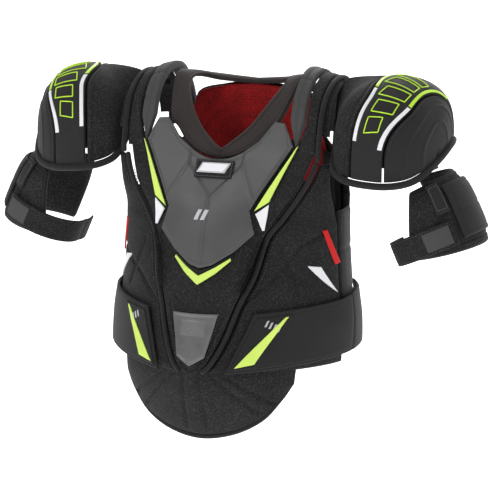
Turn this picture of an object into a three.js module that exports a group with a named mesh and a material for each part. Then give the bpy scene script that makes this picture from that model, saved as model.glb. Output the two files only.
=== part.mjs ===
// Hockey shoulder pads: a padded vest with shoulder caps, upper arm guards, side belts and a belly flap.
// Millimetres. X runs across the body (+X is the wearer's left), -Y is the front, Z is up.
// Left and right pieces come from one description, mirrored in X.
import * as THREE from 'three';

// ---- driving dimensions ----
const SHOULDER_REST = 34; // height of the shoulder rests in the working frame; becomes Z = 0
const SIDE_Y = 4; // where the chest is widest, front to back
const GAP = 1; // daylight between stacked layers
const LINER = [-20, -13]; // layer depths, from the outer chest surface
const PANEL = [-9.5, -2.5];
const SHIELD = [-8, 0];
const BELT = [2, 5.5];
const CAP_CENTRE = [196, 24];
const CAP_TOP = 56;
const CAP_TURN = 25; // the cap's band, turned from straight back towards the side
const CAP_FULLNESS = 0.62; // 1 would be a half ellipsoid; lower is squarer
const ARM_TOP = [206, 15, -30];
const ARM_SPLAY = 24; // the arm guard hangs this many degrees out from vertical

// [height, value] tables for the chest: half width, front and back surface, squareness
const HALF_WIDTH = [[-380, 142], [-300, 151], [-240, 152], [-200, 147], [-140, 143], [-100, 143],
  [-30, 147], [20, 148]];
const FRONT = [[-380, -106], [-340, -124], [-290, -138], [-240, -127], [-190, -114], [-150, -98],
  [-110, -86], [-70, -64], [-30, -44], [20, -30]];
const BACK = [[-380, 96], [-290, 100], [-200, 104], [-100, 106], [-40, 98], [20, 88]];
const SQUARE = [[-380, 1.8], [-110, 1.75], [-70, 2.9], [-30, 4.5], [20, 5]];
// half width of the V shaped chest shield down to the tongue
const SHIELD_EDGE = [[-284, 9], [-272, 20], [-245, 33], [-207, 45], [-176, 57], [-130, 68], [-108, 83],
  [-70, 107], [-31, 121]];
// shoulder arch seen from the side, front to back: [y, z]
const ARCH = [[-45, -24], [-38, 8], [-24, 37], [2, 57], [30, 63], [58, 56], [82, 32], [94, 2], [97, -30]];
// cap rim by plan angle about the cap's centre (0 outwards, -90 front, 180 inwards): [angle, radius, z]
const CAP_RIM = [[-180, 66, 44], [-150, 71, -20], [-128, 84, -50], [-90, 88, -60], [-60, 80, -57],
  [-30, 70, -38], [0, 68, -20], [30, 70, -18], [60, 84, -28], [90, 92, -32], [120, 84, -16],
  [150, 72, 22], [180, 66, 44]];

const rad = (deg) => (deg * Math.PI) / 180;
const mix = (a, b, t) => a + (b - a) * t;
const vec = (x, y, z) => new THREE.Vector3(x, y, z);
const spread = (a, b, n) => Array.from({ length: n + 1 }, (_, i) => mix(a, b, i / n));
const power = (v, e) => Math.sign(v) * Math.abs(v) ** e;

// Smooth curve through a table of [x, value] rows.
function along(table, x) {
  let i = 0;
  while (i < table.length - 2 && x > table[i + 1][0]) i += 1;
  const [x0, a] = table[i];
  const [x1, b] = table[i + 1];
  const t = Math.min(1, Math.max(0, (x - x0) / (x1 - x0)));
  const slope = (k) => {
    if (k <= 0 || k >= table.length - 1) return (b - a) / (x1 - x0);
    return (table[k + 1][1] - table[k - 1][1]) / (table[k + 1][0] - table[k - 1][0]);
  };
  const span = x1 - x0;
  const h = t * t * (3 - 2 * t);
  return a * (1 - h) + b * h + span * slope(i) * t * (1 - t) ** 2 - span * slope(i + 1) * t * t * (1 - t);
}

// ---- surfaces ----
// Chest surface by angle round the body (0 front, 90 the wearer's left, 180 back) and height.
function chest(deg, z) {
  const s = Math.sin(rad(deg));
  const c = Math.cos(rad(deg));
  const e = 2 / along(SQUARE, z);
  const reach = c > 0 ? SIDE_Y - along(FRONT, z) : along(BACK, z) - SIDE_Y;
  const bend = c > 0 ? e : 0.85;
  const out = c > 0 ? power(s, e) : power(s, 0.85);
  return vec(along(HALF_WIDTH, z) * out, SIDE_Y - power(c, bend) * reach, z);
}
const angleAt = (x, z) => {
  const part = Math.min(1, Math.abs(x) / along(HALF_WIDTH, z));
  return Math.sign(x) * (180 / Math.PI) * Math.asin(part ** (along(SQUARE, z) / 2));
};
const front = (x, z) => chest(angleAt(x, z), z);

// Shoulder arch: x across, t from 0 (front) to 1 (back).
const archRows = ARCH.map((p, i) => [i / (ARCH.length - 1), p]);
function arch(x, t) {
  const y = along(archRows.map(([k, p]) => [k, p[0]]), t);
  const z = along(archRows.map(([k, p]) => [k, p[1]]), t);
  const top = Math.sin(Math.PI * t);
  return vec(x, y, z - 0.25 * Math.max(0, x - 92) * top);
}

// Cap dome: a runs front to back over the top (0 to 180), b from the inner (-90) to the outer side (+90).
const capRadius = CAP_RIM.map(([t, r]) => [t, r]);
const capRim = CAP_RIM.map(([t, , z]) => [t, z]);
function cap(a, b) {
  const across = Math.sin(rad(b));
  const run = -Math.cos(rad(a)) * Math.cos(rad(b));
  const x = across * Math.cos(rad(CAP_TURN)) + run * Math.sin(rad(CAP_TURN));
  const y = run * Math.cos(rad(CAP_TURN)) - across * Math.sin(rad(CAP_TURN));
  const reach = Math.hypot(x, y);
  const turn = (Math.atan2(y, x) * 180) / Math.PI;
  const r = along(capRadius, turn);
  const z = along(capRim, turn);
  const rise = Math.max(0, 1 - reach * reach) ** (CAP_FULLNESS / 2);
  return vec(CAP_CENTRE[0] + r * x, CAP_CENTRE[1] + r * y, mix(z, CAP_TOP, rise));
}

// Arm guard trough: a round the arm (0 outer side, 90 front), s down the arm.
const ARM_RADIUS = [[20, 38], [45, 50], [75, 57], [150, 58]];
function arm(a, s) {
  const down = [Math.sin(rad(ARM_SPLAY)), -Math.cos(rad(ARM_SPLAY))];
  const r = along(ARM_RADIUS, s);
  const out = r * Math.cos(rad(a));
  return vec(ARM_TOP[0] + down[0] * s - down[1] * out, ARM_TOP[1] - r * Math.sin(rad(a)),
    ARM_TOP[2] + down[1] * s + down[0] * out);
}

// ---- solids ----
// A pad: a grid of surface points thickened along the surface normal from depth lo to hi.
function pad(us, vs, at, lo, hi, inside, ring = false) {
  const h = 1e-3;
  const depth = (d, u, v) => (typeof d === 'function' ? d(u, v) : d);
  const normal = (u, v) => {
    const du = at(u + h, v).sub(at(u - h, v));
    const dv = at(u, v + h).sub(at(u, v - h));
    return du.cross(dv).normalize();
  };
  const um = us[us.length >> 1];
  const vm = vs[vs.length >> 1];
  const flip = normal(um, vm).dot(at(um, vm).sub(inside)) < 0 ? -1 : 1;
  const order = flip * Math.sign(us[1] - us[0]) * Math.sign(vs[1] - vs[0]);
  const points = [];
  for (const side of [lo, hi]) {
    for (const u of us) {
      for (const v of vs) {
        const n = normal(u, v).multiplyScalar(flip * depth(side, u, v));
        points.push(at(u, v).add(n));
      }
    }
  }
  const nu = us.length;
  const nv = vs.length;
  const id = (k, i, j) => k * nu * nv + (i % nu) * nv + j;
  const faces = [];
  const quad = (a, b, c, d) => (order > 0 ? faces.push(a, b, c, a, c, d) : faces.push(a, c, b, a, d, c));
  const last = ring ? nu : nu - 1;
  for (let i = 0; i < last; i += 1) {
    for (let j = 0; j < nv - 1; j += 1) {
      quad(id(1, i, j), id(1, i + 1, j), id(1, i + 1, j + 1), id(1, i, j + 1));
      quad(id(0, i, j), id(0, i, j + 1), id(0, i + 1, j + 1), id(0, i + 1, j));
    }
    quad(id(0, i, 0), id(0, i + 1, 0), id(1, i + 1, 0), id(1, i, 0));
    quad(id(0, i + 1, nv - 1), id(0, i, nv - 1), id(1, i, nv - 1), id(1, i + 1, nv - 1));
  }
  if (!ring) {
    for (let j = 0; j < nv - 1; j += 1) {
      quad(id(0, 0, j + 1), id(0, 0, j), id(1, 0, j), id(1, 0, j + 1));
      quad(id(0, nu - 1, j), id(0, nu - 1, j + 1), id(1, nu - 1, j + 1), id(1, nu - 1, j));
    }
  }
  return solid(points, faces);
}

// A round cord through a list of points.
function cord(path, r, closed = false, sides = 6) {
  const n = path.length;
  const points = [];
  const faces = [];
  let ref = null;
  for (let i = 0; i < n; i += 1) {
    const before = path[closed ? (i + n - 1) % n : Math.max(0, i - 1)];
    const after = path[closed ? (i + 1) % n : Math.min(n - 1, i + 1)];
    const dir = after.clone().sub(before).normalize();
    if (!ref) ref = Math.abs(dir.z) < 0.8 ? vec(0, 0, 1) : vec(1, 0, 0);
    ref = ref.clone().sub(dir.clone().multiplyScalar(ref.dot(dir))).normalize();
    const other = dir.clone().cross(ref);
    for (let k = 0; k < sides; k += 1) {
      const w = (2 * Math.PI * k) / sides;
      points.push(path[i].clone().add(ref.clone().multiplyScalar(r * Math.cos(w)))
        .add(other.clone().multiplyScalar(r * Math.sin(w))));
    }
  }
  const id = (i, k) => (i % n) * sides + (k % sides);
  for (let i = 0; i < (closed ? n : n - 1); i += 1) {
    for (let k = 0; k < sides; k += 1) {
      faces.push(id(i, k), id(i + 1, k + 1), id(i + 1, k), id(i, k), id(i, k + 1), id(i + 1, k + 1));
    }
  }
  if (!closed) {
    for (let k = 1; k < sides - 1; k += 1) {
      faces.push(id(0, 0), id(0, k + 1), id(0, k), id(n - 1, 0), id(n - 1, k), id(n - 1, k + 1));
    }
  }
  return solid(points, faces);
}

function solid(points, faces) {
  const g = new THREE.BufferGeometry();
  g.setAttribute('position', new THREE.Float32BufferAttribute(points.flatMap((p) => [p.x, p.y, p.z]), 3));
  g.setIndex(faces);
  return g;
}

function block(x0, x1, y0, y1, z0, z1) {
  const g = new THREE.BoxGeometry(x1 - x0, y1 - y0, z1 - z0);
  g.translate((x0 + x1) / 2, (y0 + y1) / 2, (z0 + z1) / 2);
  return g;
}

// The same solid on the other side of the body.
function mirrored(g) {
  const m = g.clone();
  m.scale(-1, 1, 1);
  const index = m.getIndex().array;
  for (let i = 0; i < index.length; i += 3) [index[i], index[i + 1]] = [index[i + 1], index[i]];
  return m;
}

// ---- materials ----
const finish = (color, roughness, metalness = 0) =>
  new THREE.MeshStandardMaterial({ color, roughness, metalness });
const black = finish('#262326', 0.8);
const smooth = finish('#2c2a2b', 0.6);
const binding = finish('#1f1d1f', 0.7);
const collarGrey = finish('#3a3434', 0.7);
const plateGrey = finish('#4a494a', 0.5);
const yokeGrey = finish('#4c4b4c', 0.7);
const green = finish('#c8f03c', 0.6);
const white = finish('#e8e8ec', 0.6);
const red = finish('#a80c12', 0.8);
const redStrip = finish('#e81c1c', 0.7);
const foam = finish('#343235', 0.9);

const group = new THREE.Group();
function add(name, material, g) {
  g.translate(0, 0, -SHOULDER_REST);
  g.computeVertexNormals();
  const mesh = new THREE.Mesh(g, material);
  mesh.name = name;
  group.add(mesh);
}
function pair(name, material, g) {
  add(`${name}_l`, material, g.clone());
  add(`${name}_r`, material, mirrored(g));
}

// A pad on the front of the chest. Each column is [x top, z top, x bottom, z bottom].
const CHEST_AXIS = vec(0, 0, -150);
function frontPad(columns, rows, lo, hi, cut = 2) {
  const at = (u, v) => {
    const i = Math.min(columns.length - 2, Math.max(0, Math.floor(u)));
    const c = columns[i].map((value, k) => mix(value, columns[i + 1][k], u - i));
    return front(mix(c[0], c[2], v), mix(c[1], c[3], v));
  };
  return pad(spread(0, columns.length - 1, (columns.length - 1) * cut), spread(0, 1, rows), at, lo, hi,
    CHEST_AXIS);
}
const bothSides = (columns) => [
  ...columns.slice(1).reverse().map(([a, b, c, d]) => [-a, b, -c, d]), ...columns];
// A pad round the body. Each column is [angle, z top, z bottom].
function roundPad(columns, rows, lo, hi, cut = 2) {
  const at = (u, v) => {
    const i = Math.min(columns.length - 2, Math.max(0, Math.floor(u)));
    const c = columns[i].map((value, k) => mix(value, columns[i + 1][k], u - i));
    return chest(c[0], mix(c[1], c[2], v));
  };
  return pad(spread(0, columns.length - 1, (columns.length - 1) * cut), spread(0, 1, rows), at, lo, hi,
    CHEST_AXIS);
}

// ---- chest front ----
const edge = (z) => along(SHIELD_EDGE, z);
add('front_liner', foam, frontPad(bothSides([[0, -48, 0, -282], [30, -44, 34, -282], [62, -40, 66, -282],
  [94, -44, 92, -280], [110, -62, 112, -276], [124, -110, 124, -268]]), 12, ...LINER, 3));
add('chest_shield', black, frontPad(bothSides([[0, -50, 0, -288], [26, -47, 5, -286],
  [60, -34, 20, -270], [92, -29, 44, -208], [108, -29, 66, -134], [119, -32, 105, -72]]), 14, ...SHIELD, 3));
pair('chest_panel', black, pad(spread(-60, -280, 14), spread(0, 1, 6), (z, t) => {
  const inner = angleAt(edge(z) + 9, z);
  const outer = mix(66, 79, Math.min(1, Math.max(0, (-60 - z) / 60)));
  return chest(mix(inner, outer, t), z);
}, ...PANEL, CHEST_AXIS));
add('sternum_plate', plateGrey, frontPad(bothSides([[0, -50, 0, -166], [8, -49, 14, -162],
  [15, -47, 36, -147], [22, -45, 58, -125], [30, -42, 50.5, -99], [50, -30, 62, -78], [70, -4, 78, -51],
  [80, -1, 87, -35], [87, -12, 93, -25]]), 9, 1.9, 6, 2));
pair('green_wedge', green, frontPad([[97, -26, 55.5, -99], [99, -24, 72, -88]], 5, 1.6, 4));
pair('white_wedge', white, frontPad([[57, -102, 66, -121], [72, -90.5, 68.5, -121]], 3, 1.6, 4));
add('green_chevron', green, frontPad(bothSides([[0, -174, 0, -184], [18, -164, 19, -171], [34, -153, 35, -156]]),
  1, 1.2, 4));
add('tongue_window', plateGrey, frontPad(bothSides([[0, -216, 0, -276], [28, -216, 17, -266]]), 4, 1.2, 4));
add('sternum_badge', white, frontPad(bothSides([[0, -51, 0, -64], [17, -50, 17, -63]]), 1, 7.6, 10));
pair('shield_piping', binding, cord(spread(-42, -284, 22).map((z) => {
  const p = front(edge(z) + 4.8, z);
  const out = p.clone().sub(vec(0, 20, z)).setZ(0).normalize();
  return p.add(out.multiplyScalar(-1.2));
}), 3));

// ---- sides and back ----
pair('side_panel', black, roundPad([[80, -104, -272], [94, -104, -268], [108, -104, -262]], 6, ...PANEL));
pair('side_stripe', redStrip, frontPad([[126, -124, 137.5, -166], [130, -123, 141, -164]], 5, -1.4, 0.6));
pair('white_sliver', white, frontPad([[114, -164, 115, -166], [126, -166.5, 141, -199]], 4, -1.4, 0.6));
add('back_panel_upper', black, roundPad([[112, -92, -150], [130, -50, -150], [150, -31, -150],
  [157, 6, -150], [168, 26, -150], [180, 28, -150], [192, 26, -150], [203, 6, -150], [210, -31, -150],
  [230, -50, -150], [248, -92, -150]], 6, ...PANEL));
add('back_panel_lower', black, roundPad([[112, -153, -262], [134, -153, -268], [156, -153, -276],
  [180, -153, -280], [204, -153, -276], [226, -153, -268], [248, -153, -262]], 4, ...PANEL));
add('spine_pad', smooth, roundPad([[160, -60, -240], [170, -54, -252], [180, -52, -256], [190, -54, -252],
  [200, -60, -240]], 6, -1, 9));
add('back_lining', red, roundPad([[116, -96, -256], [134, -50, -262], [152, -28, -266], [160, 4, -268],
  [169, 22, -270], [180, 24, -272], [191, 22, -270], [200, 4, -268], [208, -28, -266], [226, -50, -262],
  [244, -96, -256]], 8, ...LINER));
add('size_label', white, roundPad([[172, -64, -98], [188, -64, -98]], 1, -23, -21.5));

// ---- collar ----
// Inner and outer edge of the collar trim, from the front notch round to the back: [x, y, z].
const COLLAR_INNER = [[0, -40, -31], [13, -38, -22], [33, -28, -4], [47, -18, 16], [57, -4, 33],
  [63, 18, 48], [58, 42, 50], [38, 60, 44], [0, 68, 41]];
const COLLAR_OUTER = [[0, -44, -43], [23, -46, -37], [44, -40, -26], [60, -31, -9], [71, -26, 8],
  [81, 12, 50], [79, 44, 52], [54, 74, 46], [0, 86, 40]];
function collarCurve(rows, u) {
  const turn = ((u % 16) + 16) % 16;
  const k = turn <= 8 ? turn : 16 - turn;
  const [x, y, z] = [0, 1, 2].map((c) => along(rows.map((p, i) => [i, p[c]]), k));
  return vec(turn <= 8 ? x : -x, y, z);
}
const collarRing = Array.from({ length: 32 }, (_, i) => i / 2);
add('collar_trim', collarGrey, pad(collarRing, [0, 0.5, 1],
  (u, v) => collarCurve(COLLAR_INNER, u).lerp(collarCurve(COLLAR_OUTER, u), v), -7,
  (u, v) => (Math.abs(v - 0.5) < 0.1 ? 0.5 : -1.5), vec(0, 10, -120), true));

// ---- shoulders ----
const strip = (inner, outer, t0, t1, n, lo, hi) => pad(spread(t0, t1, n), [0, 0.5, 1],
  (t, v) => arch(mix(inner(t), outer(t), v), t), lo, hi, vec(100, 30, 0));
const point = (t) => Math.min(1, Math.max(0.1, (t + 0.02) / 0.14));
pair('yoke_pad', yokeGrey, strip((t) => 96 - 10 * point(t), (t) => 96 + 9 * point(t), 0.01, 0.97, 16,
  -10, 0));
pair('yoke_strip', black, strip((t) => 98 + 8.5 * point(t), () => 121, 0.01, 0.97, 16, -10, -2));
pair('yoke_piping', binding, cord(spread(0.0, 0.97, 18).map((t) => {
  const p = arch(124.6, t);
  return p.add(vec(0, 0, -4));
}), 3.2));
pair('shoulder_rest', foam, block(88, 114, 12, 46, 34, 42));

// ---- shoulder caps ----
const capInside = vec(...CAP_CENTRE, -40);
const ease = (t) => Math.min(1, Math.max(0, t)) ** 2 * (3 - 2 * Math.min(1, Math.max(0, t)));
// the band's two borders over the dome, as angles b by a
const bandInner = (a) => 7 - 13 * ease((a - 45) / 45);
const bandOuter = (a) => 34 + 12 * ease((a - 8) / 50);
// Cap pads run from rim to rim: u is 0 to 1 front to back, b0 and b1 are the borders across.
const RIM_MARGIN = 0.01; // how close to the rim the pads end, as a share of the cap's size
function capPad(b0, b1, across, lo, hi, margin = RIM_MARGIN) {
  const at = (u, t) => {
    const along180 = 90 - 90 * Math.cos(Math.PI * u);
    const b = mix(b0(along180), b1(along180), t);
    const clear = Math.asin(Math.min(1, margin / Math.cos(rad(b)))) / rad(1);
    return cap(mix(clear, 180 - clear, along180 / 180), b);
  };
  return pad(spread(0.01, 0.99, 18), across, at, lo, hi, capInside);
}
const denseStart = (n) => spread(0, 1, n).map((t) => t ** 1.8);
const denseEnd = (n) => spread(1, 0, n).map((t) => 1 - t ** 1.8);
pair('cap_inner_panel', black, capPad(() => -84, (a) => bandInner(a) - 1, denseStart(9), -7, 0));
pair('cap_band', smooth, capPad((a) => bandInner(a) + 0.5, (a) => bandOuter(a) - 0.5, spread(0, 1, 4), -7, 1));
pair('cap_outer_panel', smooth, capPad((a) => bandOuter(a) + 1, () => 88.5, denseEnd(7), -7, 0));
pair('cap_liner', foam, capPad(() => -60, () => 60, spread(0, 1, 10), -15.5, -10.2, 0.1));
const rim = [...spread(-84, 84, 16).map((b) => cap(0, b)), ...spread(84, -84, 16).map((b) => cap(180, b))];
pair('cap_rim', binding, cord(rim.map((p) => p.add(vec(0, 0, -5.5))), 3.2, true));

// ---- arm guards ----
const armInside = (s) => arm(180, s).lerp(arm(0, s), 0.5);
const openFront = (s) => 70 + 0.42 * (s - 27);
const armPad = (a0, a1, na, s0, s1, ns, lo, hi) => pad(spread(0, 1, na), spread(s0, s1, ns),
  (t, s) => arm(mix(a0, a1(s), t), s), lo, hi, armInside(90));
pair('arm_pad', black, pad(spread(0, 1, 12), spread(0, 1, 6), (t, v) => {
  const s = mix(38 + 13 * t, 122 + 12 * Math.sin(Math.PI * t), v);
  return arm(mix(-98, openFront(s), t), s);
}, -9, 0, armInside(90)));
pair('arm_plate', smooth, armPad(-44, () => 40, 5, 56, 122, 3, 1.2, 4.5));
pair('arm_tab', smooth, armPad(44, () => 60, 2, 50, 86, 2, 1.2, 4));
const tuck = (s, t) => 2.2 - 14 * Math.max(0, Math.min(1, (t - 0.3) / 0.5)) ** 1.5;
pair('arm_strap', black, armPad(48, () => 200, 12, 96, 126, 1, (t, s) => tuck(s, t), (t, s) => tuck(s, t) + 3));

// Webbing that hangs the arm guard from the cap: a flat strap with a folded end on the guard.
pair('arm_hanger', binding, pad([-16, 16], spread(0, 1, 4),
  (w, v) => vec(mix(206, 246, v) - 6 * Math.sin(Math.PI * v), 20 + w, mix(20, -52, v)), -1.2, 1.2,
  vec(150, 20, -60)));

// ---- belts ----
pair('belt', smooth, pad(spread(0, 1, 12), spread(0, 1, 3), (t, v) => {
  const inner = mix(angleAt(66, -218), angleAt(41, -284), v);
  const turn = mix(inner, 122, t);
  return chest(turn, mix(mix(-216, -198, t), mix(-284, -262, t), v));
}, ...BELT, CHEST_AXIS));
pair('belt_label', white, frontPad([[69, -221, 46, -280], [104, -218, 74, -276]], 3, 6.5, 8));

// ---- belly flap ----
add('belly_flap', black, frontPad(bothSides([[0, -292, 0, -368], [44, -292, 42, -361], [80, -291, 76, -344],
  [106, -290, 98, -319], [111, -289, 109, -299]]), 5, -11, -4));

export default group;
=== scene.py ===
import math

import bpy
import numpy as np
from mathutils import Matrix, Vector


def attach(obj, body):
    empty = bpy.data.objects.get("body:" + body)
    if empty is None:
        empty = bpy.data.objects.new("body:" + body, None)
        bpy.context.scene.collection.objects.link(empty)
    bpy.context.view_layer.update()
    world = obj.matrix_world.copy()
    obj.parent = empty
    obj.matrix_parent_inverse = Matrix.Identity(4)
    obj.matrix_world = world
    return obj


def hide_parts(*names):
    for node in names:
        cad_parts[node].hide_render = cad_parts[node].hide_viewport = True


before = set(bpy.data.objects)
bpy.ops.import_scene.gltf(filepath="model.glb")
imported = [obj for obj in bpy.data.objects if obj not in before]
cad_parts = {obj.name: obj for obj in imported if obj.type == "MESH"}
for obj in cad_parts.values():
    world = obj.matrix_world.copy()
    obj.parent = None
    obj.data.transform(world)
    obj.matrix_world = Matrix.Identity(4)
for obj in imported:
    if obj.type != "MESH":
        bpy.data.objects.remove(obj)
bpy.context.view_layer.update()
scene = bpy.context.scene

REST = 34.0  # the working heights below are measured from this far under the shoulder rests
CAP_CENTRE, CAP_TOP, CAP_TURN, CAP_FULLNESS = (196.0, 24.0), 56.0, 25.0, 0.62
ARM_TOP, ARM_SPLAY = (206.0, 15.0, -30.0), 24.0
CORD_END = 0.6  # share of its radius that a cord keeps at its ends
PUFF_REACH = 14.0  # how far in from the border a pad reaches most of its crown
THREAD_SINK = 0.4  # how far a stitch is pulled into the cloth

HALF_WIDTH = [(-380, 142), (-300, 151), (-240, 152), (-200, 147), (-140, 143), (-100, 143), (-30, 147),
    (20, 148)]
FRONT = [(-380, -106), (-340, -124), (-290, -138), (-240, -127), (-190, -114), (-150, -98), (-110, -86),
    (-70, -64),
         (-30, -44), (20, -30)]
BACK = [(-380, 96), (-290, 100), (-200, 104), (-100, 106), (-40, 98), (20, 88)]
SQUARE = [(-380, 1.8), (-110, 1.75), (-70, 2.9), (-30, 4.5), (20, 5)]
SHIELD_EDGE = [(-284, 9), (-272, 20), (-245, 33), (-207, 45), (-176, 57), (-130, 68), (-108, 83),
    (-70, 107), (-31, 121)]
ARCH = [(-45, -24), (-38, 8), (-24, 37), (2, 57), (30, 63), (58, 56), (82, 32), (94, 2), (97, -30)]
CAP_RIM = [(-180, 66, 44), (-150, 71, -20), (-128, 84, -50), (-90, 88, -60), (-60, 80, -57), (-30, 70, -38),
    (0, 68, -20),
           (30, 70, -18), (60, 84, -28), (90, 92, -32), (120, 84, -16), (150, 72, 22), (180, 66, 44)]
ARM_RADIUS = [(20, 38), (45, 50), (75, 57), (150, 58)]
COLLAR_INNER = [(0, -40, -31), (13, -38, -22), (33, -28, -4), (47, -18, 16), (57, -4, 33), (63, 18, 48),
    (58, 42, 50),
                (38, 60, 44), (0, 68, 41)]
COLLAR_OUTER = [(0, -44, -43), (23, -46, -37), (44, -40, -26), (60, -31, -9), (71, -26, 8), (81, 12, 50),
    (79, 44, 52),
                (54, 74, 46), (0, 86, 40)]


# ---------------------------------------------------------------- curves and surfaces
def along(table, x):
    """Smooth curve through a table of (x, value) rows."""
    xs, ys = np.array(table, float).T
    x = np.asarray(x, float)
    n = len(xs)
    i = np.clip(np.searchsorted(xs, x) - 1, 0, n - 2)
    span = xs[i + 1] - xs[i]
    t = np.clip((x - xs[i]) / span, 0, 1)
    slope = np.empty(n)
    slope[1:-1] = (ys[2:] - ys[:-2]) / (xs[2:] - xs[:-2])
    slope[0] = (ys[1] - ys[0]) / (xs[1] - xs[0])
    slope[-1] = (ys[-1] - ys[-2]) / (xs[-1] - xs[-2])
    h = t * t * (3 - 2 * t)
    return (ys[i] * (1 - h) + ys[i + 1] * h + span * slope[i] * t * (1 - t) ** 2
            - span * slope[i + 1] * t * t * (1 - t))


def power(v, e):
    return np.sign(v) * np.abs(v) ** e


def xyz(x, y, z):
    return np.stack(np.broadcast_arrays(x, y, z), -1).astype(float)


def chest(deg, z):
    """Chest surface by angle round the body (0 front, 90 wearer's left) and height."""
    s, c = np.sin(np.radians(deg)), np.cos(np.radians(deg))
    e = 2 / along(SQUARE, z)
    ahead = c > 0
    reach = np.where(ahead, 4 - along(FRONT, z), along(BACK, z) - 4)
    return xyz(along(HALF_WIDTH, z) * power(s, np.where(ahead, e, 0.85)),
        4 - power(c, np.where(ahead, e, 0.85)) * reach, z)


def angle_at(x, z):
    part = np.minimum(1, np.abs(x) / along(HALF_WIDTH, z))
    return np.sign(x) * np.degrees(np.arcsin(part ** (along(SQUARE, z) / 2)))


def front(x, z):
    return chest(angle_at(x, z), z)


def arch(x, t):
    """Shoulder arch: x across, t from 0 (front) to 1 (back)."""
    k = [i / (len(ARCH) - 1) for i in range(len(ARCH))]
    y = along([(a, p[0]) for a, p in zip(k, ARCH)], t)
    z = along([(a, p[1]) for a, p in zip(k, ARCH)], t) + 240 * np.minimum(0, t)
    return xyz(x, y, z - 0.25 * np.maximum(0, np.asarray(x) - 92) * np.sin(np.pi * np.asarray(t)))


def cap(a, b):
    """Cap dome: a front to back over the top (0 to 180), b inner (-90) to outer side (+90)."""
    ar, br, t = np.radians(a), np.radians(b), math.radians(CAP_TURN)
    across, run = np.sin(br), -np.cos(ar) * np.cos(br)
    x = across * math.cos(t) + run * math.sin(t)
    y = run * math.cos(t) - across * math.sin(t)
    reach, turn = np.hypot(x, y), np.degrees(np.arctan2(y, x))
    r = along([(p[0], p[1]) for p in CAP_RIM], turn)
    z = along([(p[0], p[2]) for p in CAP_RIM], turn)
    rise = np.maximum(0, 1 - reach * reach) ** (CAP_FULLNESS / 2)
    return xyz(CAP_CENTRE[0] + r * x, CAP_CENTRE[1] + r * y, z + (CAP_TOP - z) * rise)


def arm(a, s):
    """Arm guard trough: a round the arm (0 outer side, 90 front), s down the arm."""
    dx, dz = math.sin(math.radians(ARM_SPLAY)), -math.cos(math.radians(ARM_SPLAY))
    r, ar = along(ARM_RADIUS, s), np.radians(a)
    out = r * np.cos(ar)
    return xyz(ARM_TOP[0] + dx * np.asarray(s) - dz * out, ARM_TOP[1] - r * np.sin(ar),
        ARM_TOP[2] + dz * np.asarray(s) + dx * out)


def collar(u, v):
    turn = np.mod(u, 16)
    k = np.where(turn <= 8, turn, 16 - turn)
    sign = np.where(turn <= 8, 1, -1)
    def edge(rows):
        return [along([(i, p[c]) for i, p in enumerate(rows)], k) for c in range(3)]
    a, b = edge(COLLAR_INNER), edge(COLLAR_OUTER)
    x, y, z = (a[c] * (1 - v) + b[c] * v for c in range(3))
    return xyz(x * sign, y, z)


def columns_map(columns, smooth=False):
    """(u, v) to the two values between columns of (first top, second top, first bottom, second bottom)."""
    c = np.array(columns, float)
    steps = np.arange(len(c))
    def at(u, v):
        if smooth:
            row = [along(np.stack([steps, c[:, k]], 1), u) for k in range(4)]
        else:
            row = [np.interp(u, steps, c[:, k]) for k in range(4)]
        return row[0] * (1 - v) + row[2] * v, row[1] * (1 - v) + row[3] * v
    return at


def front_map(columns, smooth=False):
    m = columns_map(columns, smooth)
    return lambda u, v: front(*m(u, v))


def round_map(columns, smooth=True):
    """Columns of (angle, z top, z bottom) round the chest."""
    m = columns_map([(a, t, a, b) for a, t, b in columns], smooth)
    return lambda u, v: chest(*m(u, v))


def both_sides(columns):
    return [(-a, b, -c, d) for a, b, c, d in columns[:0:-1]] + list(columns)


def normals(at, u, v, inside, h):
    """Unit normals of a surface at (u, v), each turned away from a point inside."""
    n = np.cross(at(u + h, v) - at(u - h, v), at(u, v + h) - at(u, v - h))
    n /= np.linalg.norm(n, axis=-1, keepdims=True)
    return n * np.sign(np.sum(n * (at(u, v) - np.array(inside, float)), -1, keepdims=True))


def spacing(n, margin):
    """n steps from 0 to 1, with extra steps inside a margin at both ends."""
    near_end = margin * np.array([0.05, 0.15, 0.3, 0.5, 0.75])
    return np.unique(np.concatenate([np.linspace(0, 1, n), near_end, 1 - near_end]))


def grid(at, u0, u1, nu, v0, v1, nv, inside, edge, wrap):
    """Points, outward normals, the distances from the borders and the winding of a patch."""
    cu, cv = np.meshgrid(np.linspace(u0, u1, 12), np.linspace(v0, v1, 12), indexing="ij")
    coarse = at(cu, cv)
    length_u = np.linalg.norm(np.diff(coarse, axis=0), axis=-1).sum(0).mean()
    length_v = np.linalg.norm(np.diff(coarse, axis=1), axis=-1).sum(1).mean()
    along_u = np.linspace(0, 1, nu, endpoint=False) if wrap else spacing(nu, min(0.4, edge / length_u))
    along_v = spacing(nv, min(0.4, edge / length_v))
    u, v = np.meshgrid(u0 + (u1 - u0) * along_u, v0 + (v1 - v0) * along_v, indexing="ij")
    hu, hv = (u1 - u0) * 1e-4, (v1 - v0) * 1e-4
    p = at(u, v)
    n = np.cross(at(u + hu, v) - at(u - hu, v), at(u, v + hv) - at(u, v - hv))
    n /= np.maximum(np.linalg.norm(n, axis=-1, keepdims=True), 1e-12)
    mid = (u.shape[0] // 2, u.shape[1] // 2)
    sign = 1.0 if np.dot(n[mid], p[mid] - np.array(inside, float)) > 0 else -1.0
    du = np.linalg.norm(np.diff(p, axis=0), axis=-1)
    dv = np.linalg.norm(np.diff(p, axis=1), axis=-1)
    run_u = np.vstack([np.zeros((1, u.shape[1])), np.cumsum(du, 0)])
    run_v = np.hstack([np.zeros((u.shape[0], 1)), np.cumsum(dv, 1)])
    border = [run_u, run_u[-1:] - run_u, run_v, run_v[:, -1:] - run_v]
    return u, v, p, n * sign, border, sign


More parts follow.
